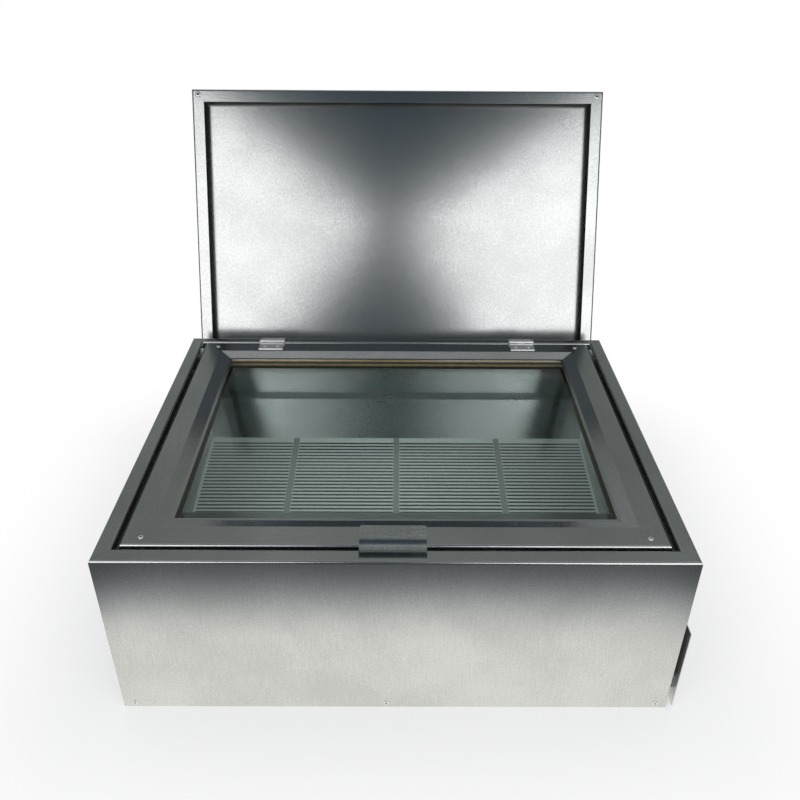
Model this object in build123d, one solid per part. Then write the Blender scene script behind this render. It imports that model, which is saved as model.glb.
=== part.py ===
from build123d import *
import math
import os

# A solar wax melter: a double-walled sheet-metal box, a hinged double-glazed
# frame, a lift-off mirror cover standing behind it, a slotted comb basket and
# a wax drawer that slides out at the right. Millimetres, +X right, front at
# -Y, +Z up. The origin is the middle of the underside of the casing.

# Casing
casing_width = 700.0
casing_depth = 556.0
casing_height = 250.0
sheet = 1.0
bend = 2.5
mitre_gap = 0.3
rim_front = 22.0
rim_side = 20.0
rim_rear = 15.0
rim_lip = 12.0
base_flange = 18.0
floor_insulation = 8.0

# Glass frame
front_gap = 6.0
side_gap = 7.0
rear_gap = 3.0
flange_front = 34.0
flange_side = 30.0
flange_rear = 28.0
bevel_width = 17.0
bevel_drop = 5.0
bevel_lip = 4.0
skirt_lip = 10.0
pane_thickness = 4.0
pane_lap = 16.0
spacer_height = 12.0
spacer_width = 11.0
seal_height = 4.0
seal_width = 8.0
ledge_leg = 7.0
ledge_bend = 1.5
retainer_thickness = 1.0
retainer_clearance = 2.5

# Handle tab on the glass frame
tab_width = 79.0
tab_offset = -3.7
tab_sheet = 1.2
tab_bend = 1.2
tab_cover = 1.5
tab_ridge_setback = 11.0
tab_ridge_run = 4.0
tab_ridge_rise = 3.0
tab_dip_rise = 1.0
tab_reach = 10.0
tab_lip_run = 4.0
tab_lip_rise = 4.5

# Butt hinges
hinge_offset = 212.0
hinge_length = 40.0
hinge_leaf = 1.2
hinge_knuckle = 2.6
hinge_pin = 1.4
pin_clearance = 0.05
knuckle_gap = 0.3
knuckle_lift = 0.4
pin_cap = 0.8
pin_cap_rim = 0.6
front_leaf_reach = 24.0
rear_leaf_setback = 1.0
screw_inset = 9.0
front_screw_inset = 8.0

# Comb basket
grid_slope = 7.2
basket_rear = 224.0
basket_front = 0.0
basket_rear_height = 75.0
basket_wall_top = 157.0
basket_flange = 20.0
basket_side_height = 42.0
basket_side_gap = 4.0
basket_bend = 2.0
slot_width = 4.2
slot_pitch = 7.8
strip_offset = 176.0
column_strip = 11.0
slot_margin = 5.0
slot_cut = 4.0
runner_width = 12.0
runner_height = 14.0
seat_gap = 0.3

# Drip pan under the basket
pan_drop = 9.0
pan_overhang = 14.0
pan_flange = 5.0
pan_rear_flange = 20.0

# Wax drawer
drawer_open = 8.5
drawer_headroom = 1.0
drawer_play = 1.5
drawer_tuck = 4.0
drawer_lap = 16.0
drawer_plate_top = 133.0
drawer_plate_bottom = 2.0
hatch_margin = 1.2
guide_height = 12.0
guide_width = 12.0

# Mirror cover
cover_depth = 26.0
cover_flange = 20.0
cover_lean = 21.0
cover_rise = 419.0
cover_back = 52.0
cover_cross = 22.0
holder_offset = 220.0
holder_width = 60.0
holder_sheet = 2.0
holder_hook = 26.0
holder_drop = 36.0

# Fasteners
rivet_radius = 3.2
rivet_dome = 1.3
screw_radius = 2.9
screw_dome = 1.1
head_taper = 0.6
base_rivet_height = 8.0
base_rivet_inset = 14.0
front_rivet_shift = -12.0
side_rivet_reach = 240.0
hatch_rivet_place = 60.0
corner_rivet_inset_x = 22.0
corner_rivet_inset_y = 14.0
cover_rivet_inset_x = 11.0
cover_rivet_inset_y = 8.0
drawer_rivet_inset = 20.0
corner_plate = 52.0
corner_plate_leg = 23.0

# Worked out from the values above
half_x = casing_width / 2
half_y = casing_depth / 2
top = casing_height
liner_x = half_x - rim_side + sheet
liner_front = -half_y + rim_front - sheet
liner_rear = half_y - rim_rear + sheet
floor_top = sheet + floor_insulation + sheet

frame_x = half_x - rim_side - side_gap
frame_front = -half_y + rim_front + front_gap
frame_rear = half_y - rim_rear - rear_gap
bevel_run = bevel_width + bevel_lip
glass_x = frame_x - flange_side - bevel_run
glass_front = frame_front + flange_front + bevel_run
glass_rear = frame_rear - flange_rear - bevel_run
upper_pane_top = top - bevel_drop - sheet
lower_pane_top = upper_pane_top - pane_thickness - spacer_height
skirt_bottom = lower_pane_top - pane_thickness - retainer_thickness - sheet

slope_rise = math.tan(math.radians(grid_slope))
hinge_y = half_y - rim_rear - rear_gap / 2
hinge_z = top + hinge_knuckle + knuckle_lift


def block(x0, x1, y0, y1, z0, z1):
    """A plain block between two corners."""
    size = Box(x1 - x0, y1 - y0, z1 - z0)
    return Pos((x0 + x1) / 2, (y0 + y1) / 2, (z0 + z1) / 2) * size


def strip(points, thickness, radius=None):
    """The section of a folded sheet whose middle line runs through the points."""
    if radius is None:
        path = Polyline(*points)
    else:
        path = FilletPolyline(*points, radius=radius)
    return trace(path, thickness)


def along_x(section, x0, x1):
    """Extrudes a section drawn in Y and Z along X."""
    return Pos(x0, 0, 0) * extrude(Plane.YZ * section, amount=x1 - x0, dir=(1, 0, 0))


def along_y(section, y0, y1):
    """Extrudes a section drawn in X and Z along Y."""
    return Pos(0, y0, 0) * extrude(Plane.XZ * section, amount=y1 - y0, dir=(0, 1, 0))


def outlined(points, z0, z1):
    """A prism over an outline in plan."""
    face = make_face(Polyline(*points, close=True))
    return Pos(0, 0, z0) * extrude(face, amount=z1 - z0, dir=(0, 0, 1))


def mitred(name, section, outer, inner, z0, z1):
    """One of four members of a mitred frame.

    The section gives a point's distance inwards from the member's outer face.
    Outer and inner are (half width, front, rear) of the frame's two outlines.
    """
    out_x, out_front, out_rear = outer
    in_x, in_front, in_rear = inner
    gap = mitre_gap
    corner = {
        "front": [
            (-out_x + gap, out_front),
            (out_x - gap, out_front),
            (in_x - gap, in_front),
            (-in_x + gap, in_front),
        ],
        "rear": [
            (out_x - gap, out_rear),
            (-out_x + gap, out_rear),
            (-in_x + gap, in_rear),
            (in_x - gap, in_rear),
        ],
        "left": [(-out_x, out_rear), (-out_x, out_front), (-in_x, in_front), (-in_x, in_rear)],
        "right": [(out_x, out_front), (out_x, out_rear), (in_x, in_rear), (in_x, in_front)],
    }[name]
    if name == "front":
        bar = along_x(Pos(out_front, 0) * section, -out_x, out_x)
    elif name == "rear":
        bar = along_x(Pos(out_rear, 0) * mirror(section, about=Plane.YZ), -out_x, out_x)
    elif name == "left":
        bar = along_y(Pos(-out_x, 0) * section, out_front, out_rear)
    else:
        bar = along_y(Pos(out_x, 0) * mirror(section, about=Plane.YZ), out_front, out_rear)
    return bar & outlined(corner, z0, z1)


def head(radius, dome):
    """The low head of a rivet or a screw, standing on the XY plane."""
    return Pos(0, 0, dome / 2) * Cone(radius, head_taper * radius, dome)


def grid_z(y, below=0.0):
    """Height of the top of the slotted floor at a depth y."""
    return basket_rear_height - (basket_rear - y) * slope_rise - below


def sloped(x0, x1, y0, y1, low, high):
    """A block between two surfaces that run parallel to the slotted floor."""
    outline = [
        (y0, grid_z(y0, low)),
        (y1, grid_z(y1, low)),
        (y1, grid_z(y1, high)),
        (y0, grid_z(y0, high)),
    ]
    return along_x(make_face(Polyline(*outline, close=True)), x0, x1)


sides = ("front", "rear", "left", "right")
rims = {"front": rim_front, "rear": rim_rear, "left": rim_side, "right": rim_side}
parts = {}

# Outer panels: wall, rim and a lip turned down inside it, mitred at the corners
casing_outer = (half_x, -half_y, half_y)
casing_inner = (half_x - rim_side, -half_y + rim_front, half_y - rim_rear)
for side in sides:
    rim = rims[side]
    middle = sheet / 2
    wall_line = [
        (middle, 0),
        (middle, top - middle),
        (rim - middle, top - middle),
        (rim - middle, top - rim_lip),
    ]
    section = strip(wall_line, sheet, bend)
    parts[f"{side}_panel"] = mitred(side, section, casing_outer, casing_inner, 0, top)

# Base: a tray whose flanges stand up inside the four walls
base = block(-half_x + sheet, half_x - sheet, -half_y + sheet, half_y - sheet, 0, base_flange)
base_x = half_x - 2 * sheet
base_y = half_y - 2 * sheet
base -= block(-base_x, base_x, -base_y, base_y, sheet, base_flange)

# Hatch for the drawer, through the right wall, the base flange and the liner
drawer_rear = basket_front + drawer_tuck
drawer_front = liner_front + sheet + drawer_play
drawer_bottom = floor_top + sheet + seat_gap
pan_front = basket_front - pan_overhang
drawer_top = grid_z(pan_front, pan_drop + sheet) - drawer_headroom
hatch = {
    "y0": drawer_front - hatch_margin,
    "y1": drawer_rear + hatch_margin,
    "z0": floor_top,
    "z1": drawer_top + hatch_margin,
}


def hatch_block(x0, x1, wall):
    """The hatch between two places in the wall, with a wall thickness round it."""
    low = (hatch["y0"] - wall, hatch["z0"] - wall)
    high = (hatch["y1"] + wall, hatch["z1"] + wall)
    return block(x0, x1, low[0], high[0], low[1], high[1])


hatch_cut = hatch_block(liner_x, half_x + sheet, sheet)
hatch_bore = hatch_block(liner_x - sheet, half_x + sheet, 0)
parts["right_panel"] -= hatch_cut
parts["base_tray"] = base - hatch_cut

# Liner and insulation fill the double wall
liner_out_x = liner_x + sheet
liner_out_front = liner_front - sheet
liner_out_rear = liner_rear + sheet
liner_top = top - sheet - bend
parts["liner_floor"] = block(
    -liner_out_x, liner_out_x, liner_out_front, liner_out_rear, floor_top - sheet, floor_top
)
parts["liner_left"] = block(
    -liner_out_x, -liner_x, liner_out_front, liner_out_rear, floor_top, liner_top
)
right_liner = block(liner_x, liner_out_x, liner_out_front, liner_out_rear, floor_top, liner_top)
parts["liner_right"] = right_liner - hatch_bore
parts["liner_front"] = block(-liner_x, liner_x, liner_out_front, liner_front, floor_top, liner_top)
parts["liner_rear"] = block(-liner_x, liner_x, liner_rear, liner_out_rear, floor_top, liner_top)

parts["insulation_floor"] = block(
    -liner_out_x, liner_out_x, liner_out_front, liner_out_rear, sheet, floor_top - sheet
)
parts["insulation_left"] = block(-base_x, -liner_out_x, -base_y, base_y, sheet, liner_top)
right_board = block(liner_out_x, base_x, -base_y, base_y, sheet, liner_top)
parts["insulation_right"] = right_board - hatch_cut
parts["insulation_front"] = block(
    -liner_out_x, liner_out_x, -base_y, liner_out_front, sheet, liner_top
)
parts["insulation_rear"] = block(
    -liner_out_x, liner_out_x, liner_out_rear, base_y, sheet, liner_top
)

# Sleeve that lines the hatch between the liner and the right panel
parts["hatch_sleeve"] = hatch_block(liner_out_x, half_x, sheet) - hatch_bore



def ring(x, front, rear, width, z0, z1):
    """A flat frame of one width between two heights."""
    whole = block(-x, x, front, rear, z0, z1)
    return whole - block(-x + width, x - width, front + width, rear - width, z0, z1)


# The seal is one band under the skirt lip of the glass frame
seal_top = skirt_bottom - seat_gap
ledge_top = seal_top - seal_height
seal_x = frame_x - sheet
seal_front = frame_front + sheet
seal_rear = frame_rear - sheet
parts["frame_seal"] = ring(seal_x, seal_front, seal_rear, seal_width, ledge_top, seal_top)

# Ledges around the top of the liner, as wide as it takes to carry the seal
ledge_outer = (liner_x, liner_front, liner_rear)
ledge_inner = (seal_x - seal_width, seal_front + seal_width, seal_rear - seal_width)
ledges = {
    "front": ledge_inner[1] - liner_front,
    "rear": liner_rear - ledge_inner[2],
    "left": liner_x - ledge_inner[0],
    "right": liner_x - ledge_inner[0],
}
for side in sides:
    middle = sheet / 2
    ledge_line = [
        (middle, ledge_top - ledge_leg),
        (middle, ledge_top - middle),
        (ledges[side], ledge_top - middle),
    ]
    section = strip(ledge_line, sheet, ledge_bend)
    parts[f"ledge_{side}"] = mitred(
        side, section, ledge_outer, ledge_inner, ledge_top - ledge_leg, ledge_top
    )

# Glass frame: flange, bevel down to the glass, skirt and a lip turned inwards
frame_outer = (frame_x, frame_front, frame_rear)
frame_inner = (glass_x, glass_front, glass_rear)
flanges = {"front": flange_front, "rear": flange_rear, "left": flange_side, "right": flange_side}
for side in sides:
    flange = flanges[side]
    middle = sheet / 2
    frame_line = [
        (skirt_lip, skirt_bottom + middle),
        (middle, skirt_bottom + middle),
        (middle, top - middle),
        (flange, top - middle),
        (flange + bevel_width, top - bevel_drop - middle),
        (flange + bevel_run, top - bevel_drop - middle),
    ]
    section = strip(frame_line, sheet, bend)
    parts[f"frame_{side}"] = mitred(side, section, frame_outer, frame_inner, skirt_bottom, top)

# Two panes with a spacer between them, held up by a flat retainer
pane_x = glass_x + pane_lap
pane_front = glass_front - pane_lap
pane_rear = glass_rear + pane_lap
parts["upper_pane"] = block(
    -pane_x, pane_x, pane_front, pane_rear, upper_pane_top - pane_thickness, upper_pane_top
)
parts["lower_pane"] = block(
    -pane_x, pane_x, pane_front, pane_rear, lower_pane_top - pane_thickness, lower_pane_top
)
parts["pane_spacer"] = ring(
    pane_x, pane_front, pane_rear, spacer_width, lower_pane_top, upper_pane_top - pane_thickness
)
retainer_top = lower_pane_top - pane_thickness
retainer_gap = sheet + retainer_clearance
retainer_x = frame_x - retainer_gap
retainer_front = frame_front + retainer_gap
retainer_rear = frame_rear - retainer_gap
retainer = block(
    -retainer_x, retainer_x, retainer_front, retainer_rear, skirt_bottom + sheet, retainer_top
)
retainer -= block(-glass_x, glass_x, glass_front, glass_rear, skirt_bottom + sheet, retainer_top)
parts["pane_retainer"] = retainer

# Handle tab: flat on the frame, up over a ridge, down again and out over the
# rim of the casing, with its edge curled up for the fingers
tab_base = top + tab_sheet / 2
tab_ridge = frame_front + tab_ridge_setback - tab_ridge_run
tab_end = -half_y + rim_front - tab_reach
tab_line = [
    (frame_front + flange_front + tab_cover, tab_base),
    (frame_front + tab_ridge_setback, tab_base),
    (tab_ridge, tab_base + tab_ridge_rise),
    (tab_ridge - 2 * tab_ridge_run, tab_base + tab_dip_rise),
    (tab_end + tab_lip_run, tab_base + tab_dip_rise),
    (tab_end, tab_base + tab_lip_rise),
]
parts["handle_tab"] = along_x(
    strip(tab_line, tab_sheet, tab_bend), tab_offset - tab_width / 2, tab_offset + tab_width / 2
)


leaf_top = top + hinge_leaf


def leaf(x, reach, sign, knuckles):
    """A hinge leaf with its share of three knuckles; sign is its side of the pin."""
    third = hinge_length / 3
    left = x - hinge_length / 2
    edge = hinge_y + sign * (hinge_knuckle + knuckle_lift)
    end = hinge_y + sign * reach
    root_bottom = hinge_z - hinge_knuckle
    body = block(left, left + hinge_length, min(edge, end), max(edge, end), top, leaf_top)
    for k in knuckles:
        x0 = left + k * third + (knuckle_gap / 2 if k else 0)
        x1 = left + (k + 1) * third - (knuckle_gap / 2 if k < 2 else 0)
        at = Plane(origin=(x0, hinge_y, hinge_z), x_dir=(0, 1, 0), z_dir=(1, 0, 0))
        barrel = extrude(at * Circle(hinge_knuckle), amount=x1 - x0)
        root = block(x0, x1, min(hinge_y, edge), max(hinge_y, edge), root_bottom, leaf_top)
        body += barrel + root
        body -= extrude(at * Circle(hinge_pin + pin_clearance), amount=x1 - x0)
    return body


rear_leaf_reach = rim_rear + rear_gap / 2 - rear_leaf_setback
centres = (-hinge_offset, hinge_offset)
parts["hinge_rear_leaves"] = Compound([leaf(x, rear_leaf_reach, 1, (0, 2)) for x in centres])
parts["hinge_front_leaves"] = Compound([leaf(x, front_leaf_reach, -1, (1,)) for x in centres])
pins = []
for x in centres:
    left = x - hinge_length / 2 - pin_cap
    at = Plane(origin=(left, hinge_y, hinge_z), x_dir=(0, 1, 0), z_dir=(1, 0, 0))
    shaft = extrude(at * Circle(hinge_pin), amount=hinge_length + 2 * pin_cap)
    for end in (left, x + hinge_length / 2):
        cap = Plane(origin=(end, hinge_y, hinge_z), x_dir=(0, 1, 0), z_dir=(1, 0, 0))
        shaft += extrude(cap * Circle(hinge_pin + pin_cap_rim), amount=pin_cap)
    pins.append(shaft)
parts["hinge_pins"] = Compound(pins)


facing_up = Rot(0, 0, 0)
facing_front = Rot(90, 0, 0)
facing_rear = Rot(-90, 0, 0)
facing_left = Rot(0, -90, 0)
facing_right = Rot(0, 90, 0)


def heads(places, turn, radius, dome):
    """Copies of one fastener head, each turned to face away from its wall."""
    one = head(radius, dome)
    return [Pos(*place) * turn * one for place in places]


# Screws of the hinge leaves
screw_step = hinge_length / 2 - screw_inset
rear_screw_y = hinge_y + (hinge_knuckle + rear_leaf_reach) / 2
front_screw_y = hinge_y - front_leaf_reach + front_screw_inset
screw_x = [x + s * screw_step for x in centres for s in (-1, 1)]
for name, y in (("hinge_rear_screws", rear_screw_y), ("hinge_front_screws", front_screw_y)):
    places = [(x, y, leaf_top) for x in screw_x]
    parts[name] = Compound(heads(places, facing_up, screw_radius, screw_dome))

# Corner plates under the flange of the glass frame, and their rivets
plates = []
for sx in (-1, 1):
    for edge, sy in ((frame_front, 1), (frame_rear, -1)):
        x0 = sx * (frame_x - 3 * sheet)
        y0 = edge + sy * 3 * sheet
        x1 = x0 - sx * corner_plate
        y1 = y0 + sy * corner_plate
        xm = x0 - sx * corner_plate_leg
        ym = y0 + sy * corner_plate_leg
        outline = [(x0, y0), (x1, y0), (x1, ym), (xm, ym), (xm, y1), (x0, y1)]
        plates.append(outlined(outline, top - 2 * sheet, top - sheet))
parts["corner_plates"] = Compound(plates)
rivet_x = frame_x - corner_rivet_inset_x
rivet_front = frame_front + corner_rivet_inset_y
rivet_rear = frame_rear - corner_rivet_inset_y
places = [(s * rivet_x, y, top) for s in (-1, 1) for y in (rivet_front, rivet_rear)]
parts["frame_rivets"] = Compound(heads(places, facing_up, rivet_radius, rivet_dome))

# Rivets along the foot of the casing hold the walls to the base
corner_x = half_x - base_rivet_inset
row_z = base_rivet_height
reach = side_rivet_reach
rows = (
    (facing_front, [(x, -half_y, row_z) for x in (-corner_x, front_rivet_shift, corner_x)]),
    (facing_rear, [(x, half_y, row_z) for x in (-corner_x, 0, corner_x)]),
    (facing_left, [(-half_x, y, row_z) for y in (-reach, 0, reach)]),
    (facing_right, [(half_x, y, row_z) for y in (hatch_rivet_place, reach)]),
)
base_heads = []
for turn, places in rows:
    base_heads += heads(places, turn, rivet_radius, rivet_dome)
parts["base_rivets"] = Compound(base_heads)

# Slotted basket
basket_x = liner_x - basket_side_gap
grid = sloped(-basket_x, basket_x, basket_front, basket_rear, sheet, 0)
strip_half = column_strip / 2
columns = (
    (-basket_x + slot_margin, -strip_offset - strip_half),
    (-strip_offset + strip_half, -strip_half),
    (strip_half, strip_offset - strip_half),
    (strip_offset + strip_half, basket_x - slot_margin),
)
slots = []
row = basket_front + slot_margin
while row + slot_width < basket_rear - slot_margin:
    z = grid_z(row)
    for x0, x1 in columns:
        slots.append(block(x0, x1, row, row + slot_width, z - slot_cut, z + slot_cut))
    row += slot_pitch
parts["slotted_floor"] = grid - slots

parts["basket_left"] = sloped(
    -basket_x, -basket_x + sheet, basket_front, basket_rear, 0, -basket_side_height
)
parts["basket_right"] = sloped(
    basket_x - sheet, basket_x, basket_front, basket_rear, 0, -basket_side_height
)
parts["basket_front"] = sloped(
    -basket_x + sheet, basket_x - sheet, basket_front, basket_front + sheet, 0, -basket_side_height
)
back_line = [
    (basket_rear + sheet / 2, grid_z(basket_rear, sheet)),
    (basket_rear + sheet / 2, basket_wall_top - sheet / 2),
    (basket_rear + basket_flange, basket_wall_top - sheet / 2),
]
parts["basket_back"] = along_x(strip(back_line, sheet, basket_bend), -basket_x, basket_x)

# Angle runners that carry the basket, and the drip pan below them
for side, sx in (("left", -1), ("right", 1)):
    wall = sx * liner_x
    tip = sx * (liner_x - runner_width)
    upright = sx * (liner_x - sheet)
    low = sheet + seat_gap
    shelf = sloped(min(wall, tip), max(wall, tip), basket_front, basket_rear, low + sheet, low)
    lower, upper = low + sheet, low - runner_height
    leg = sloped(min(wall, upright), max(wall, upright), basket_front, basket_rear, lower, upper)
    parts[f"runner_{side}"] = shelf + leg

pan_under = pan_drop + sheet
pan = sloped(-liner_x, liner_x, pan_front, liner_rear, pan_under, pan_drop)
for x0, x1 in ((-liner_x, -liner_x + sheet), (liner_x - sheet, liner_x)):
    pan += sloped(x0, x1, pan_front, liner_rear, pan_under, pan_drop - pan_flange)
pan += sloped(
    -liner_x, liner_x, liner_rear - sheet, liner_rear, pan_under, pan_drop - pan_rear_flange
)
parts["drip_pan"] = pan

# Guides on the liner floor, and the wax drawer that runs on them
front_guide = block(
    -liner_x, liner_x, liner_front, liner_front + guide_width, floor_top, floor_top + sheet
)
front_guide += block(
    -liner_x, liner_x, liner_front, liner_front + sheet, floor_top, floor_top + guide_height
)
guide_face = drawer_rear + drawer_play
guide_back = guide_face + sheet
rear_guide = block(
    -liner_x, liner_x, guide_back - guide_width, guide_back, floor_top, floor_top + sheet
)
rear_guide += block(
    -liner_x, liner_x, guide_face, guide_back, floor_top, floor_top + guide_height
)
parts["drawer_guides"] = Compound([front_guide, rear_guide])

drawer_left = -liner_x + drawer_open + drawer_play
plate_x = half_x + drawer_open
wax_pan = block(drawer_left, plate_x, drawer_front, drawer_rear, drawer_bottom, drawer_top)
wax_pan -= block(
    drawer_left + sheet,
    plate_x - sheet,
    drawer_front + sheet,
    drawer_rear - sheet,
    drawer_bottom + sheet,
    drawer_top,
)
parts["wax_pan"] = wax_pan
parts["drawer_plate"] = block(
    plate_x,
    plate_x + sheet,
    -half_y + sheet,
    drawer_rear + drawer_lap,
    drawer_plate_bottom,
    drawer_plate_top,
)
rivet_row = (drawer_bottom + drawer_top) / 2
drawer_middle = (drawer_front + drawer_rear) / 2
rivet_reach = (drawer_rear - drawer_front) / 2 - drawer_rivet_inset
places = [(plate_x + sheet, drawer_middle + k * rivet_reach, rivet_row) for k in (-1, 0, 1)]
parts["drawer_rivets"] = Compound(heads(places, facing_right, rivet_radius, rivet_dome))

# Mirror cover, modelled lying on its back and leant into its holders. The panel
# and the four folded edges are one blank on the real cover.
lean_sin = math.sin(math.radians(cover_lean))
lean_cos = math.cos(math.radians(cover_lean))
cover_below = casing_depth - cover_rise
foot_y = half_y + cover_back - cover_below * lean_sin
foot_z = top - cover_cross - cover_below * lean_cos
cover_origin = (0, foot_y + cover_depth * lean_cos, foot_z - cover_depth * lean_sin)
cover_place = Pos(*cover_origin) * Rot(90 - cover_lean, 0, 0)
parts["mirror_cover"] = cover_place * block(-half_x, half_x, 0, casing_depth, 0, sheet)
cover_outer = (half_x, 0, casing_depth)
cover_inner = (half_x - cover_flange, cover_flange, casing_depth - cover_flange)
cover_line = [
    (sheet / 2, sheet),
    (sheet / 2, cover_depth - sheet / 2),
    (cover_flange, cover_depth - sheet / 2),
]
cover_section = strip(cover_line, sheet, bend)
edge_names = {"front": "foot", "rear": "top", "left": "left", "right": "right"}
for side in sides:
    edge = mitred(side, cover_section, cover_outer, cover_inner, sheet, cover_depth)
    parts[f"cover_edge_{edge_names[side]}"] = cover_place * edge
cover_rivet_x = half_x - cover_rivet_inset_x
cover_rivet_y = (cover_rivet_inset_y, casing_depth - cover_rivet_inset_y)
places = [(s * cover_rivet_x, y, cover_depth) for s in (-1, 1) for y in cover_rivet_y]
cover_heads = heads(places, facing_up, rivet_radius, rivet_dome)
parts["cover_rivets"] = Compound([cover_place * one for one in cover_heads])

# Holders riveted to the rear wall, hooked up behind the foot of the cover
under = holder_sheet / 2 + seat_gap
behind = cover_depth + seat_gap + holder_sheet / 2
plate_y = half_y + holder_sheet / 2
seat_y = foot_y - under * lean_sin
seat_z = foot_z - under * lean_cos
corner_z = seat_z - (plate_y - seat_y) * lean_sin / lean_cos
hook_y = seat_y + behind * lean_cos
hook_z = seat_z - behind * lean_sin
holder_line = [
    (plate_y, corner_z - holder_drop),
    (plate_y, corner_z),
    (hook_y, hook_z),
    (hook_y + holder_hook * lean_sin, hook_z + holder_hook * lean_cos),
]
for side, sx in (("left", -1), ("right", 1)):
    left = sx * holder_offset - holder_width / 2
    parts[f"cover_holder_{side}"] = along_x(
        strip(holder_line, holder_sheet), left, left + holder_width
    )
holder_rivet_z = corner_z - holder_drop / 2
rivet_step = holder_width / 3
rivet_xs = [sx * holder_offset + k * rivet_step for sx in (-1, 1) for k in (-1, 1)]
places = [(x, half_y + holder_sheet, holder_rivet_z) for x in rivet_xs]
parts["holder_rivets"] = Compound(heads(places, facing_rear, rivet_radius, rivet_dome))

os.makedirs("parts", exist_ok=True)
for name, shape in parts.items():
    export_step(shape, f"parts/{name}.step")
    print(name, len(shape.solids()), round(shape.volume))
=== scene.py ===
import math

import bmesh
import bpy
from mathutils import Matrix, Vector


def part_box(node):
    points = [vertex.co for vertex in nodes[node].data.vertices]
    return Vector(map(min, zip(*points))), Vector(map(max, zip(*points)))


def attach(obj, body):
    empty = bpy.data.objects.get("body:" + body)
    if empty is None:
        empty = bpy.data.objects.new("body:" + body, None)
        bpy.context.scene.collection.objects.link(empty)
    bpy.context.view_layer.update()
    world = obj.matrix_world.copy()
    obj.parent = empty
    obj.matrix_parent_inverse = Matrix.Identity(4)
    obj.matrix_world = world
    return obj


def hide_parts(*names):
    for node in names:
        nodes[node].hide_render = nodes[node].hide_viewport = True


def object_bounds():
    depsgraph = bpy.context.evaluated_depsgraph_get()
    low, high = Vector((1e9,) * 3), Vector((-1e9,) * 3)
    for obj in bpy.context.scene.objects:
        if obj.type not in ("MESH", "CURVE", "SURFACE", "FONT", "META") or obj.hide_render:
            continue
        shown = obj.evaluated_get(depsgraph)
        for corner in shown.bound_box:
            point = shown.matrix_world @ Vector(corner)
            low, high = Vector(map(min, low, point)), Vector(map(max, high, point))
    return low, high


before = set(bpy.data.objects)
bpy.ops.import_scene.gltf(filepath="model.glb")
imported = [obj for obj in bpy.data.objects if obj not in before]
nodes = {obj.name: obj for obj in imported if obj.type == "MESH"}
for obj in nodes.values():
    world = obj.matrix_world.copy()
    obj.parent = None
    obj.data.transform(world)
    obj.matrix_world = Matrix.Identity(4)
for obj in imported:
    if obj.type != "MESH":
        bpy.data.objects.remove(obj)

# The box of the construction model.
cad_box = [list(corner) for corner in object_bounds()]

# Studio
# A catalogue picture of sheet metal on a white card table. Two square soft
# boxes stand nearly on their corners beside the camera, which is in the dark.
mm = 0.001
scene = bpy.context.scene
scene.view_settings.view_transform = "Standard"

# The camera is fitted to the corners of the casing and the cover.
photo_width_px = 800
focal_length_px = 805.4
camera_data = bpy.data.cameras.new("camera")
camera_data.sensor_width = 36.0
camera_data.lens = camera_data.sensor_width * focal_length_px / photo_width_px
camera = bpy.data.objects.new("camera", camera_data)
scene.collection.objects.link(camera)
scene.camera = camera
eye = Vector((-0.9, -961.3, 885.5)) * mm
tilt_down = math.radians(31.50)
turn_left = math.radians(-0.334)
roll = math.radians(0.410)
aim = Matrix.Rotation(turn_left, 4, "Z") @ Matrix.Rotation(math.pi / 2 - tilt_down, 4, "X")
camera.matrix_world = Matrix.Translation(eye) @ aim @ Matrix.Rotation(roll, 4, "Z")


def linear(hex_colour):
    """An sRGB hex colour as the linear colour that a shader takes."""
    channels = [int(hex_colour[i:i + 2], 16) / 255 for i in (1, 3, 5)]
    return tuple(c / 12.92 if c <= 0.04045 else ((c + 0.055) / 1.055) ** 2.4 for c in channels) + (1.0,)


def add(tree, kind, settings=None, links=None):
    """Adds a shader node, fills its sockets or properties and links its inputs.

    A socket goes by its name, or by its number where several share a name.
    """
    node = tree.nodes.new(kind)
    for key, value in (settings or {}).items():
        if isinstance(key, int) or key in node.inputs:
            node.inputs[key].default_value = value
        else:
            setattr(node, key, value)
    for key, source in (links or {}).items():
        tree.links.new(source, node.inputs[key])
    return node


def blank_material(name):
    """A material with an empty tree, its tree and its output node."""
    material = bpy.data.materials.new(name)
    material.use_nodes = True
    tree = material.node_tree
    tree.nodes.clear()
    return material, tree, add(tree, "ShaderNodeOutputMaterial")


def light_path(tree):
    """Two masks: a ray that metal has mirrored, and one that looks straight out."""
    rays = add(tree, "ShaderNodeLightPath")
    mirrored = add(
        tree, "ShaderNodeMath", {"operation": "GREATER_THAN", 1: 0.5}, {0: rays.outputs["Glossy Depth"]}
    )
    looking = add(
        tree, "ShaderNodeMath", {"operation": "MAXIMUM"},
        {0: rays.outputs["Is Camera Ray"], 1: rays.outputs["Is Transmission Ray"]},
    )
    return mirrored.outputs[0], looking.outputs[0]


# The card: the camera sees white with a soft shadow, and metal sees it white
# beside the melter and falling off into the room where the card ends.
card_table, tree, out = blank_material("white_card_table")
place = add(tree, "ShaderNodeNewGeometry")
split = add(tree, "ShaderNodeSeparateXYZ", {}, {0: place.outputs["Position"]})
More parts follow.
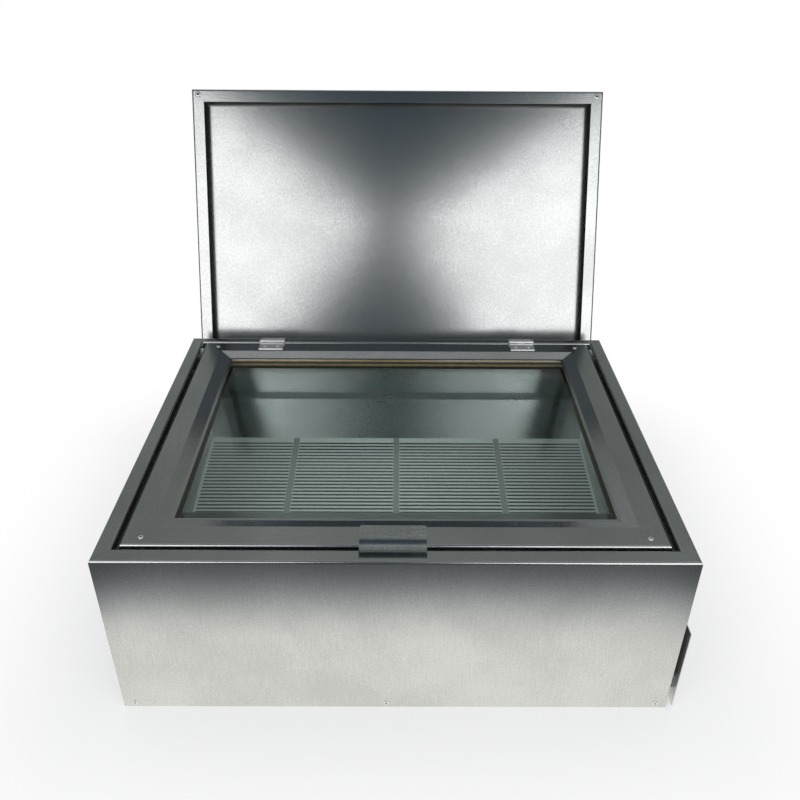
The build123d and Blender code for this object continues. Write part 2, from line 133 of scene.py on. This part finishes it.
# Half the width and depth that the melter covers. Around it the card glows in
# full up to the first distance and is dim from the second one on, and the
# shadow that the camera sees has faded out within its reach.
footprint = (cad_box[1][0], 278 * mm)
glow_ends = (105 * mm, 268 * mm)
glow_strength = (1.0, 0.10)
shadow_reach = 330 * mm
squares = []
for axis, reach in zip("XY", footprint):
    size = add(tree, "ShaderNodeMath", {"operation": "ABSOLUTE"}, {0: split.outputs[axis]})
    past = add(tree, "ShaderNodeMath", {"operation": "SUBTRACT", 1: reach}, {0: size.outputs[0]})
    past = add(tree, "ShaderNodeMath", {"operation": "MAXIMUM", 1: 0.0}, {0: past.outputs[0]})
    squares.append(add(tree, "ShaderNodeMath", {"operation": "POWER", 1: 2.0}, {0: past.outputs[0]}))
total = add(
    tree, "ShaderNodeMath", {"operation": "ADD"}, {0: squares[0].outputs[0], 1: squares[1].outputs[0]}
)
away = add(tree, "ShaderNodeMath", {"operation": "SQRT"}, {0: total.outputs[0]})
fall = add(
    tree, "ShaderNodeMapRange",
    {
        "interpolation_type": "SMOOTHSTEP", "From Min": glow_ends[0], "From Max": glow_ends[1],
        "To Min": glow_strength[0], "To Max": glow_strength[1],
    },
    {0: away.outputs[0]},
)
bleach = add(
    tree, "ShaderNodeMapRange",
    {
        "interpolation_type": "SMOOTHSTEP", "From Min": 0.0, "From Max": shadow_reach,
        "To Min": 0.5, "To Max": 1.0,
    },
    {0: away.outputs[0]},
)
card = add(tree, "ShaderNodeBsdfDiffuse", {"Color": linear("#f2f2f2")})
warmth = add(
    tree, "ShaderNodeMix", {"data_type": "RGBA", 6: linear("#dde8f0"), 7: linear("#fffef8")},
    {0: fall.outputs[0]},
)
seen_in_metal = add(
    tree, "ShaderNodeEmission", {}, {"Color": warmth.outputs[2], "Strength": fall.outputs[0]}
)
plain_white = add(tree, "ShaderNodeEmission", {"Color": (1, 1, 1, 1), "Strength": 1.0})
seen = add(
    tree, "ShaderNodeMixShader", {},
    {0: bleach.outputs[0], 1: card.outputs[0], 2: plain_white.outputs[0]},
)
mirrored, looking = light_path(tree)
direct = add(tree, "ShaderNodeMixShader", {}, {0: looking, 1: card.outputs[0], 2: seen.outputs[0]})
either = add(
    tree, "ShaderNodeMixShader", {}, {0: mirrored, 1: direct.outputs[0], 2: seen_in_metal.outputs[0]}
)
tree.links.new(either.outputs[0], out.inputs["Surface"])

table_side = 12          # metres, so that its edges lie out of every view
bpy.ops.mesh.primitive_plane_add(size=table_side, location=(0, 0, cad_box[0][2]))
table = bpy.context.object
table.name = "card_table"
table.data.materials.append(card_table)

# The room: white to the camera, grey and dim to the metal, and a dark blue
# behind the camera, which the mirror cover shows between the soft boxes.
world = bpy.data.worlds.new("room")
scene.world = world
world.use_nodes = True
tree = world.node_tree
tree.nodes.clear()
out = add(tree, "ShaderNodeOutputWorld")
direction = add(tree, "ShaderNodeTexCoord")
height = add(tree, "ShaderNodeSeparateXYZ", {}, {0: direction.outputs["Generated"]})
ramp = add(tree, "ShaderNodeValToRGB", {}, {0: height.outputs["Z"]})
# From the level of the table at 0 to straight overhead at 1.
greys = (
    (0.0, "#a4a8a8"), (0.2, "#868b8b"), (0.45, "#7c8281"),
    (0.70, "#828785"), (0.84, "#b4b8b8"), (1.0, "#8c9298"),
)
while len(ramp.color_ramp.elements) < len(greys):
    ramp.color_ramp.elements.new(0.5)
for stop, (at, grey) in zip(ramp.color_ramp.elements, greys):
    stop.position = at
    stop.color = linear(grey)
# Soft patches keep any wide sheet from looking even.
patch_strength = (0.56, 0.94)
patches = add(
    tree, "ShaderNodeTexNoise", {"Scale": 2.2, "Detail": 1.0},
    {"Vector": direction.outputs["Generated"]},
)
patchy = add(
    tree, "ShaderNodeMapRange",
    {
        "From Min": 0.3, "From Max": 0.7,
        "To Min": patch_strength[0], "To Max": patch_strength[1],
    },
    {0: patches.outputs[0]},
)
# The dark blue has its middle this way, and fades between two cosines.
blue_middle = (0.0, -0.94, 0.34)
blue_core, blue_rim = 0.78, 0.22
towards_blue = add(
    tree, "ShaderNodeVectorMath", {"operation": "DOT_PRODUCT", 1: blue_middle},
    {0: direction.outputs["Generated"]},
)
beyond = add(
    tree, "ShaderNodeMapRange",
    {"interpolation_type": "SMOOTHSTEP", "From Min": blue_core, "From Max": blue_rim},
    {0: towards_blue.outputs["Value"]},
)
grey_or_blue = add(
    tree, "ShaderNodeMix", {"data_type": "RGBA", 6: linear("#2c3f4a")},
    {0: beyond.outputs[0], 7: ramp.outputs[0]},
)
dim_room = add(
    tree, "ShaderNodeBackground", {}, {"Color": grey_or_blue.outputs[2], "Strength": patchy.outputs[0]}
)
fill = add(tree, "ShaderNodeBackground", {"Color": (0.72, 0.73, 0.74, 1), "Strength": 1.0})
white = add(tree, "ShaderNodeBackground", {"Color": (1, 1, 1, 1), "Strength": 1.0})
mirrored, looking = light_path(tree)
direct = add(tree, "ShaderNodeMixShader", {}, {0: looking, 1: fill.outputs[0], 2: white.outputs[0]})
view = add(tree, "ShaderNodeMixShader", {}, {0: mirrored, 1: direct.outputs[0], 2: dim_room.outputs[0]})
tree.links.new(view.outputs[0], out.inputs["Surface"])


# Each soft box is this wide, and faces the cover as it leans back by so many
# degrees.
box_side = 1100 * mm
cover_lean = 21


def soft_box(name, place, turn, watts):
    """A square lamp that faces the mirror cover, turned on its own axis.

    Place is in millimetres and turn in degrees.
    """
    data = bpy.data.lights.new(name, "AREA")
    data.shape = "SQUARE"
    data.size = box_side
    data.energy = watts
    lamp = bpy.data.objects.new(name, data)
    scene.collection.objects.link(lamp)
    facing = Matrix.Rotation(math.radians(90 - cover_lean), 4, "X")
    on_corner = Matrix.Rotation(math.radians(turn), 4, "Z")
    lamp.matrix_world = Matrix.Translation(Vector(place) * mm) @ facing @ on_corner


soft_box("soft_box_left", (-868, -1154, 969), 52, 5.7)
soft_box("soft_box_right", (798, -1183, 895), 32, 5.85)


def sheet_metal(name, colour, roughness, grain, spread=0.0, mottle=0.18, bare=1.0, lean=0.0):
    """Bare sheet with its rolled grain along one axis.

    Spread smears what the sheet mirrors at right angles to the grain, bare is
    the share of it that no film of wax or oxide dulls, and lean tips its shading
    upwards by that slope.
    """
    material, tree, out = blank_material(name)
    where = add(tree, "ShaderNodeTexCoord")
    # The true grain is 0.2 mm wide and the zinc's flecks are 0.5 mm. Both are
    # drawn coarser, so that they still show. The clouds are in their real size.
    grain_width, grain_length = 2 * mm, 35 * mm
    fleck, cloud = 2.4 * mm, 110 * mm
    scale = [1 / grain_width] * 3
    scale["XYZ".index(grain)] = 1 / grain_length
    stretched = add(tree, "ShaderNodeMapping", {"Scale": scale}, {0: where.outputs["Object"]})
    rolled = add(
        tree, "ShaderNodeTexNoise", {"Scale": 1.0, "Detail": 2.0, "Roughness": 0.6},
        {"Vector": stretched.outputs[0]},
    )
    flecks = add(
        tree, "ShaderNodeTexNoise", {"Scale": 1 / fleck, "Detail": 3.0, "Roughness": 0.75},
        {"Vector": where.outputs["Object"]},
    )
    clouds = add(
        tree, "ShaderNodeTexNoise", {"Scale": 1 / cloud, "Detail": 2.0},
        {"Vector": where.outputs["Object"]},
    )
    fine = add(
        tree, "ShaderNodeMix", {"data_type": "FLOAT", 0: 0.3},
        {2: flecks.outputs[0], 3: rolled.outputs[0]},
    )
    whole = add(
        tree, "ShaderNodeMix", {"data_type": "FLOAT", 0: 0.35},
        {2: fine.outputs[0], 3: clouds.outputs[0]},
    )
    shade = add(
        tree, "ShaderNodeMapRange",
        {"From Min": 0.43, "From Max": 0.58, "To Min": 1 - mottle, "To Max": 1.0},
        {0: whole.outputs[0]},
    )
    tone = add(
        tree, "ShaderNodeVectorMath", {"operation": "SCALE", 0: linear(colour)[:3]},
        {"Scale": shade.outputs[0]},
    )
    uneven = 0.02
    dull = add(
        tree, "ShaderNodeMapRange",
        {
            "From Min": 0.35, "From Max": 0.65,
            "To Min": roughness + uneven, "To Max": roughness - uneven,
        },
        {0: whole.outputs[0]},
    )
    relief = 0.05 * mm
    bump = add(tree, "ShaderNodeBump", {"Distance": relief}, {"Height": fine.outputs[0]})
    facing = bump
    if lean:
        tipped = add(
            tree, "ShaderNodeVectorMath", {"operation": "ADD", 1: (0, 0, lean)},
            {0: bump.outputs[0]},
        )
        facing = add(tree, "ShaderNodeVectorMath", {"operation": "NORMALIZE"}, {0: tipped.outputs[0]})
    settings = {"Metallic": bare}
    links = {"Base Color": tone.outputs[0], "Roughness": dull.outputs[0], "Normal": facing.outputs[0]}
    if spread:
        surface = add(tree, "ShaderNodeNewGeometry")
        along = [0.0, 0.0, 0.0]
        along["XYZ".index(grain)] = 1.0
        across = add(
            tree, "ShaderNodeVectorMath", {"operation": "CROSS_PRODUCT", 1: along},
            {0: surface.outputs["True Normal"]},
        )
        settings["Anisotropic"] = spread
        links["Tangent"] = across.outputs[0]
    metal = add(tree, "ShaderNodeBsdfPrincipled", settings, links)
    tree.links.new(metal.outputs[0], out.inputs["Surface"])
    return material


def finish_nodes(material, names):
    """Gives construction nodes their finish in every material slot they have."""
    for name in names:
        data = nodes[name].data
        if not data.materials:
            data.materials.append(material)
        for slot in range(len(data.materials)):
            data.materials[slot] = material


zinc_grey = "#d6d7d6"
galvanised_wide, galvanised_deep, galvanised_upright = (
    sheet_metal("galvanised_steel_rolled_along_" + grain.lower(), zinc_grey, 0.19, grain)
    for grain in "XYZ"
)
finish_nodes(galvanised_upright, ["front_panel", "rear_panel"])
finish_nodes(galvanised_deep, ["left_panel", "right_panel"])
finish_nodes(galvanised_wide, ["base_tray", "hatch_sleeve"])

# Liner, ledges, runners and drip pan
# Bright sheet rolled along the chamber. Its grain smears the light that falls
# in through the glass into tall soft bands on the upright walls.
bright_wide, bright_deep = (
    sheet_metal(
        "bright_steel_rolled_along_" + grain.lower(), "#eef3f2", 0.50, grain,
        spread=1.0, mottle=0.10,
    )
    for grain in "XY"
)
# What lies under the basket is coloured dark as painted shade, so the slots look dark.
painted_shade_floor = sheet_metal("steel_under_basket_painted_shade", "#5d6464", 0.40, "X", mottle=0.3)
# The real rear walls seem to lean back a little. The upright ones only do so
# in their shading, by this slope.
rear_wall_lean = 0.52
rear_walls = sheet_metal(
    "bright_steel_rear_walls", "#f5f9f8", 0.28, "X", spread=1.0, mottle=0.12, lean=rear_wall_lean
)
finish_nodes(bright_wide, ["liner_front"])
finish_nodes(rear_walls, ["liner_rear"])
finish_nodes(bright_deep, ["liner_left", "liner_right"])
finish_nodes(painted_shade_floor, ["liner_floor", "drip_pan", "drawer_guides", "runner_left", "runner_right"])
finish_nodes(galvanised_wide, ["ledge_front", "ledge_rear"])
finish_nodes(galvanised_deep, ["ledge_left", "ledge_right"])

# Insulation
# Boards of mineral wool fill the double wall. They are matt and fibrous, with
# a mustard binder, and show only where the hatch cuts through them.
mineral_wool, tree, out = blank_material("mineral_wool_board")
where = add(tree, "ShaderNodeTexCoord")
# The fibres are finer than a hair, so they are drawn as the tufts they form.
tuft, tuft_depth = 3 * mm, 0.8 * mm
fibres = add(
    tree, "ShaderNodeTexNoise", {"Scale": 1 / tuft, "Detail": 6.0, "Distortion": 1.5},
    {"Vector": where.outputs["Object"]},
)
tone = add(
    tree, "ShaderNodeMix", {"data_type": "RGBA", 6: linear("#8f7a3c"), 7: linear("#d2bf7c")},
    {0: fibres.outputs[0]},
)
bump = add(tree, "ShaderNodeBump", {"Distance": tuft_depth}, {"Height": fibres.outputs[0]})
matt = add(
    tree, "ShaderNodeBsdfPrincipled", {"Roughness": 0.95},
    {"Base Color": tone.outputs[2], "Normal": bump.outputs[0]},
)
tree.links.new(matt.outputs[0], out.inputs["Surface"])
boards = ("floor", "left", "right", "front", "rear")
finish_nodes(mineral_wool, ["insulation_" + board for board in boards])

# Comb basket
# A tray of the same bright sheet whose floor is punched with rows of slots.
# Handling and wax have dulled the floor, so it catches light from all round.
slotted_sheet = sheet_metal(
    "bright_steel_punched_floor", "#f0f3f2", 0.36, "X", spread=0.4, mottle=0.08, bare=0.25
)
tree = slotted_sheet.node_tree
metal = next(node for node in tree.nodes if node.type == "BSDF_PRINCIPLED")
# The plain strips between the groups of slots are painted darker than the slats, as painted shade.
strip_pitch = 176 * mm
strip_width = 9.5 * mm
strip_edge = 0.5 * mm
strip_painted_shade = 0.42
where = add(tree, "ShaderNodeTexCoord")
across = add(tree, "ShaderNodeSeparateXYZ", {}, {0: where.outputs["Object"]})
off_strip = add(
    tree, "ShaderNodeMath", {"operation": "PINGPONG", 1: strip_pitch / 2}, {0: across.outputs["X"]}
)
slats = add(
    tree, "ShaderNodeMapRange",
    {
        "From Min": strip_width / 2, "From Max": strip_width / 2 + strip_edge,
        "To Min": strip_painted_shade, "To Max": 1.0,
    },
    {0: off_strip.outputs[0]},
)
sheet_tone = metal.inputs["Base Color"].links[0].from_socket
striped = add(
    tree, "ShaderNodeVectorMath", {"operation": "SCALE"},
    {0: sheet_tone, "Scale": slats.outputs[0]},
)
tree.links.new(striped.outputs[0], metal.inputs["Base Color"])
finish_nodes(slotted_sheet, ["slotted_floor"])
finish_nodes(bright_wide, ["basket_front"])
finish_nodes(rear_walls, ["basket_back"])
finish_nodes(bright_deep, ["basket_left", "basket_right"])

# Wax drawer
# A shallow folded pan riveted to a plain plate that closes the hatch in the
# right wall. The pan is bright sheet and the plate galvanised like the casing,
# but hands and wax have left it with a duller, greyer film.
finish_nodes(bright_wide, ["wax_pan"])
plate_sheet = sheet_metal("galvanised_steel_drawer_plate", zinc_grey, 0.30, "Y", bare=0.7)
finish_nodes(plate_sheet, ["drawer_plate"])

# Frame seal
# A soft band of cork that the glass frame comes down on, cut from sheet and
# crumbly at the edges.
cork, tree, out = blank_material("pressed_cork_strip")
where = add(tree, "ShaderNodeTexCoord")
crumb, crumb_depth = 3 * mm, 0.4 * mm
crumbs = add(
    tree, "ShaderNodeTexVoronoi", {"Scale": 1 / crumb}, {"Vector": where.outputs["Object"]}
)
tone = add(
    tree, "ShaderNodeMix", {"data_type": "RGBA", 6: linear("#b08d58"), 7: linear("#6f5430")},
    {0: crumbs.outputs[0]},
)
bump = add(tree, "ShaderNodeBump", {"Distance": crumb_depth}, {"Height": crumbs.outputs[0]})
matt = add(
    tree, "ShaderNodeBsdfPrincipled", {"Roughness": 0.85},
    {"Base Color": tone.outputs[2], "Normal": bump.outputs[0]},
)
tree.links.new(matt.outputs[0], out.inputs["Surface"])
finish_nodes(cork, ["frame_seal"])

# Pane spacer
# Two tan beads hold the panes apart, with the groove between them painted dark
# as painted shade. They show as thin tan lines round the opening, greener where the glass lies over
# them.
spacer, tree, out = blank_material("tan_glazing_bead")
where = add(tree, "ShaderNodeTexCoord")
level = add(tree, "ShaderNodeSeparateXYZ", {}, {0: where.outputs["Object"]})
low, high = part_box("pane_spacer")
rising = add(
    tree, "ShaderNodeMapRange", {"From Min": low.z, "From Max": high.z}, {0: level.outputs["Z"]}
)
bands = add(tree, "ShaderNodeValToRGB", {}, {0: rising.outputs[0]})
# From the lower bead at 0, over the groove's painted shade, to the upper one at 1.
bead_and_painted_groove_shade_bands = (
    (0.0, "#8d7a4e"), (0.30, "#8d7a4e"), (0.36, "#2a2a22"),
    (0.66, "#2a2a22"), (0.72, "#c89f63"),
)
while len(bands.color_ramp.elements) < len(bead_and_painted_groove_shade_bands):
    bands.color_ramp.elements.new(0.5)
for stop, (at, tan) in zip(bands.color_ramp.elements, bead_and_painted_groove_shade_bands):
    stop.position = at
    stop.color = linear(tan)
# Dirt and age leave the beads paler and darker every few millimetres.
stain = 6 * mm
stains = add(
    tree, "ShaderNodeTexNoise", {"Scale": 1 / stain, "Detail": 4.0},
    {"Vector": where.outputs["Object"]},
)
worn = add(
    tree, "ShaderNodeMapRange",
    {"From Min": 0.3, "From Max": 0.7, "To Min": 0.75, "To Max": 1.1},
    {0: stains.outputs[0]},
)
tone = add(
    tree, "ShaderNodeVectorMath", {"operation": "SCALE"},
    {0: bands.outputs[0], "Scale": worn.outputs[0]},
)
matt = add(tree, "ShaderNodeBsdfPrincipled", {"Roughness": 0.7}, {"Base Color": tone.outputs[0]})
tree.links.new(matt.outputs[0], out.inputs["Surface"])
finish_nodes(spacer, ["pane_spacer"])

# Panes
# Two sheets of 4 mm float glass, whose iron gives a faint green. Rays of light
# and shadow pass them without noise, and everything else sees clear glass.
float_glass, tree, out = blank_material("clear_float_glass")
where = add(tree, "ShaderNodeTexCoord")
# The tint drifts a little across each sheet.
drift_width = 60 * mm
drift = add(
    tree, "ShaderNodeTexNoise", {"Scale": 1 / drift_width, "Detail": 2.0},
    {"Vector": where.outputs["Object"]},
)
green = add(
    tree, "ShaderNodeMix", {"data_type": "RGBA", 6: linear("#f8fdfb"), 7: linear("#fcfefd")},
    {0: drift.outputs[0]},
)
pane = add(
    tree, "ShaderNodeBsdfPrincipled", {"Roughness": 0.0, "IOR": 1.52, "Transmission Weight": 1.0},
    {"Base Color": green.outputs[2]},
)
clear = add(tree, "ShaderNodeBsdfTransparent", {}, {"Color": green.outputs[2]})
rays = add(tree, "ShaderNodeLightPath")
through = add(
    tree, "ShaderNodeMath", {"operation": "MAXIMUM"},
    {0: rays.outputs["Is Shadow Ray"], 1: rays.outputs["Is Diffuse Ray"]},
)
glass = add(
    tree, "ShaderNodeMixShader", {},
    {0: through.outputs[0], 1: pane.outputs[0], 2: clear.outputs[0]},
)
tree.links.new(glass.outputs[0], out.inputs["Surface"])
finish_nodes(float_glass, ["upper_pane", "lower_pane"])

# Glass frame
# Four mitred members folded from galvanised sheet, with a bevel down to the
# glass and a skirt below. Plates under the corners and a flat retainer hold it.
finish_nodes(galvanised_wide, ["frame_front", "frame_rear", "pane_retainer", "corner_plates"])
finish_nodes(galvanised_deep, ["frame_left", "frame_right"])

# Handle tab
# A strip of thicker plate, bent over the front of the frame and curled up at
# its edge for the fingers. Its zinc is smoother and more mottled than that of
# the sheet under it, so its bends show the dark and the light room sharply.
tab_plate = sheet_metal("hot_dipped_zinc_plate", "#eceeec", 0.09, "X", mottle=0.30)
tab_low, tab_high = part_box("handle_tab")
tab_sheet = 1.2          # millimetres, like all of the tab's sizes
tab_columns = 24
# The middle of the sheet in side view, Y and Z: flat on the frame, up over a
# sharp ridge, down its front slope and out to the lip.
tab_line = [
    (-214.5, 250.6), (-238.0, 250.6), (-240.5, 250.8), (-242.2, 254.0), (-243.6, 255.1),
    (-244.8, 254.2), (-249.6, 250.9), (-252.0, 250.6), (-258.0, 250.6), (-262.0, 251.3),
    (-265.8, 254.3),
]
# Handling has left the sheet faintly wavy in front of its first bend. The two
# waves are in radians from column to column.
dent_depth, dents_from, dents_grow = 0.12, -238, 6
short_wave, long_wave = 0.9, 0.37
sharpest_bend = math.radians(50)
roundings = 3


def cut_corners(line):
    """Rounds a line by cutting each of its corners once."""
    cut = [line[0]]
    for (y0, z0), (y1, z1) in zip(line, line[1:]):
        cut.append((0.75 * y0 + 0.25 * y1, 0.75 * z0 + 0.25 * z1))
        cut.append((0.25 * y0 + 0.75 * y1, 0.25 * z0 + 0.75 * z1))
    return cut + [line[-1]]


for _ in range(roundings):
    tab_line = cut_corners(tab_line)
mesh = bmesh.new()
columns = []
for step in range(tab_columns + 1):
    x = tab_low.x + (tab_high.x - tab_low.x) * step / tab_columns
    dent = dent_depth * math.sin(short_wave * step) * math.sin(long_wave * step + 1.0)
    over, under = [], []
    for i, (y, z) in enumerate(tab_line):
        before, after = tab_line[max(i - 1, 0)], tab_line[min(i + 1, len(tab_line) - 1)]
        along = Vector((0, after[0] - before[0], after[1] - before[1])).normalized()
        outward = Vector((0, along.z, -along.y)) * tab_sheet / 2
        sag = dent * min(1.0, max(0.0, (dents_from - y) / dents_grow))
        middle = Vector((0, y, z - abs(sag)))
        over.append(mesh.verts.new(Vector((x, 0, 0)) + (middle + outward) * mm))
        under.append(mesh.verts.new(Vector((x, 0, 0)) + (middle - outward) * mm))
    columns.append((over, under))
for (over_a, under_a), (over_b, under_b) in zip(columns, columns[1:]):
    for i in range(len(tab_line) - 1):
        mesh.faces.new((over_a[i], over_a[i + 1], over_b[i + 1], over_b[i]))
        mesh.faces.new((under_a[i], under_b[i], under_b[i + 1], under_a[i + 1]))
    for end in (0, -1):
        mesh.faces.new((over_a[end], over_b[end], under_b[end], under_a[end]))
for over, under in (columns[0], columns[-1]):
    for i in range(len(tab_line) - 1):
        mesh.faces.new((over[i], over[i + 1], under[i + 1], under[i]))
bmesh.ops.recalc_face_normals(mesh, faces=mesh.faces)
data = bpy.data.meshes.new("bent_handle_tab")
mesh.to_mesh(data)
mesh.free()
for face in data.polygons:
    face.use_smooth = True
data.set_sharp_from_angle(angle=sharpest_bend)
data.materials.append(tab_plate)
tab = bpy.data.objects.new("bent_handle_tab", data)
scene.collection.objects.link(tab)
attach(tab, "glass_frame")
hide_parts("handle_tab")

# Hinges
# Two small butt hinges of pressed steel, zinc plated and bright, with pins
# riveted over at both ends.
bright_zinc = sheet_metal("bright_zinc_plating", "#eef0f0", 0.18, "X", mottle=0.12, bare=0.78)
finish_nodes(bright_zinc, ["hinge_rear_leaves", "hinge_front_leaves", "hinge_pins"])

# Rivets and screws
# Blind rivets of aluminium, whiter and duller than the sheet, with a low dome
# and the steel stub of the pin sunk in the middle, coloured dark as painted
# shade in its hollow. The hinges have pan-head screws with a cross recess, in
# bright zinc.
rivet_aluminium = sheet_metal("aluminium_blind_rivet", "#f1f1ee", 0.20, "Z", mottle=0.10, bare=0.7)
steel_stub_painted_shade = sheet_metal("snapped_steel_pin_painted_shade", "#4a4c4d", 0.35, "Z", mottle=0.3)


def seats(name, facing=None):
    """The foot of each fastener in a construction node and the way it faces."""
    mesh = bmesh.new()
    mesh.from_mesh(nodes[name].data)
    bmesh.ops.remove_doubles(mesh, verts=mesh.verts, dist=0.01 * mm)
    left = set(mesh.verts)
    found = []
    while left:
        island = [left.pop()]
        for vertex in island:
            for edge in vertex.link_edges:
                other = edge.other_vert(vertex)
                if other in left:
                    left.remove(other)
                    island.append(other)
        low = Vector(min(v.co[i] for v in island) for i in range(3))
        high = Vector(max(v.co[i] for v in island) for i in range(3))
        middle = (low + high) / 2
        way = facing
        if way is None:
            size = high - low
            thin = min(range(3), key=lambda i: size[i])
            way = Vector((0, 0, 0))
            way[thin] = math.copysign(1.0, middle[thin])
        reach = min((v.co - middle).dot(way) for v in island)
        found.append((middle + way * reach, way))
    mesh.free()
    # A set has no fixed order, so the seats are sorted by their place.
    return sorted(found, key=lambda seat: tuple(seat[0]))


def stamp(name, body, places, profile, metals, stub_from=None, cross=0.0):
    """One mesh of turned heads; cross cuts a recess that deep in millimetres.

    From ring stub_from inwards the head takes the second metal.
    """
    around = 32
    twist = 0.9          # radians from one head to the next
    recess_half_width, recess_reach = 0.42, 1.5
    if stub_from is None:
        stub_from = len(profile) + 1
    mesh = bmesh.new()
    for number, (foot, way) in enumerate(places):
        upright = way.to_track_quat("Z", "Y").to_matrix()
        turn = upright @ Matrix.Rotation(twist * number, 3, "Z")
        rings = []
        for radius, rise in profile:
            ring = []
            for step in range(around):
                angle = 2 * math.pi * step / around
                x, y = radius * math.cos(angle), radius * math.sin(angle)
                narrow, far = sorted((abs(x), abs(y)))
                inside = narrow < recess_half_width and far < recess_reach
                sunk = cross if inside else 0.0
                ring.append(mesh.verts.new(foot + turn @ Vector((x, y, rise - sunk)) * mm))
            rings.append(ring)
        for place, (outer, inner) in enumerate(zip(rings, rings[1:])):
            for step in range(around):
                following = (step + 1) % around
                corners = (outer[step], outer[following], inner[following], inner[step])
                mesh.faces.new(corners).material_index = int(place >= stub_from)
        mesh.faces.new(rings[-1]).material_index = int(len(rings) >= stub_from)
    data = bpy.data.meshes.new(name)
    mesh.to_mesh(data)
    mesh.free()
    for face in data.polygons:
        face.use_smooth = True
    for metal in metals:
        data.materials.append(metal)
    piece = bpy.data.objects.new(name, data)
    scene.collection.objects.link(piece)
    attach(piece, body)
    return piece


# Radius and rise in millimetres, from the foot of the dome to its middle.
rivet_profile = [
    (3.2, 0.0), (3.2, 0.25), (3.05, 0.55), (2.7, 0.85), (2.2, 1.08), (1.7, 1.22),
    (1.35, 1.28), (1.15, 1.2), (1.1, 0.7), (0.95, 0.62), (0.4, 0.72),
]
stub_ring = 7
screw_profile = [
    (2.9, 0.0), (2.85, 0.35), (2.6, 0.65), (2.25, 0.85), (1.9, 0.97), (1.6, 1.03),
    (1.45, 1.05), (1.2, 1.07), (0.9, 1.09), (0.6, 1.1), (0.42, 1.1), (0.2, 1.1),
]
recess_depth = 0.5
# The cover's rivets have wide heads, and face the way the cover leans.
wider, taller = 1.6, 1.2
wide_profile = [(wider * radius, taller * rise) for radius, rise in rivet_profile]
lean = math.radians(cover_lean)
cover_facing = Vector((0, -math.cos(lean), math.sin(lean)))
rivet_metals = [rivet_aluminium, steel_stub_painted_shade]
for name, body, facing, profile in (
    ("base_rivets", "casing", None, rivet_profile),
    ("holder_rivets", "casing", Vector((0, 1, 0)), rivet_profile),
    ("frame_rivets", "glass_frame", Vector((0, 0, 1)), rivet_profile),
    ("drawer_rivets", "wax_drawer", Vector((1, 0, 0)), rivet_profile),
    ("cover_rivets", "cover", cover_facing, wide_profile),
):
    places = seats(name, facing)
    heads = stamp("domed_" + name, body, places, profile, rivet_metals, stub_from=stub_ring)
    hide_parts(name)
for name, body in (("hinge_rear_screws", "casing"), ("hinge_front_screws", "glass_frame")):
    places = seats(name, Vector((0, 0, 1)))
    heads = stamp(
        "cross_head_" + name, body, places, screw_profile, [bright_zinc], cross=recess_depth
    )
    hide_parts(name)

# Mirror cover
# A tray folded from one bright galvanised blank. It lies over the glass when
# shut and leans behind it when open, to throw more sun into the chamber.
finish_nodes(galvanised_upright, ["mirror_cover"])
finish_nodes(galvanised_wide, ["cover_edge_top", "cover_edge_foot"])
finish_nodes(galvanised_upright, ["cover_edge_left", "cover_edge_right"])

# Cover holders
# Two hooks of 2 mm galvanised strip on the rear wall, in which the foot of the
# cover stands.
finish_nodes(galvanised_wide, ["cover_holder_left", "cover_holder_right"])
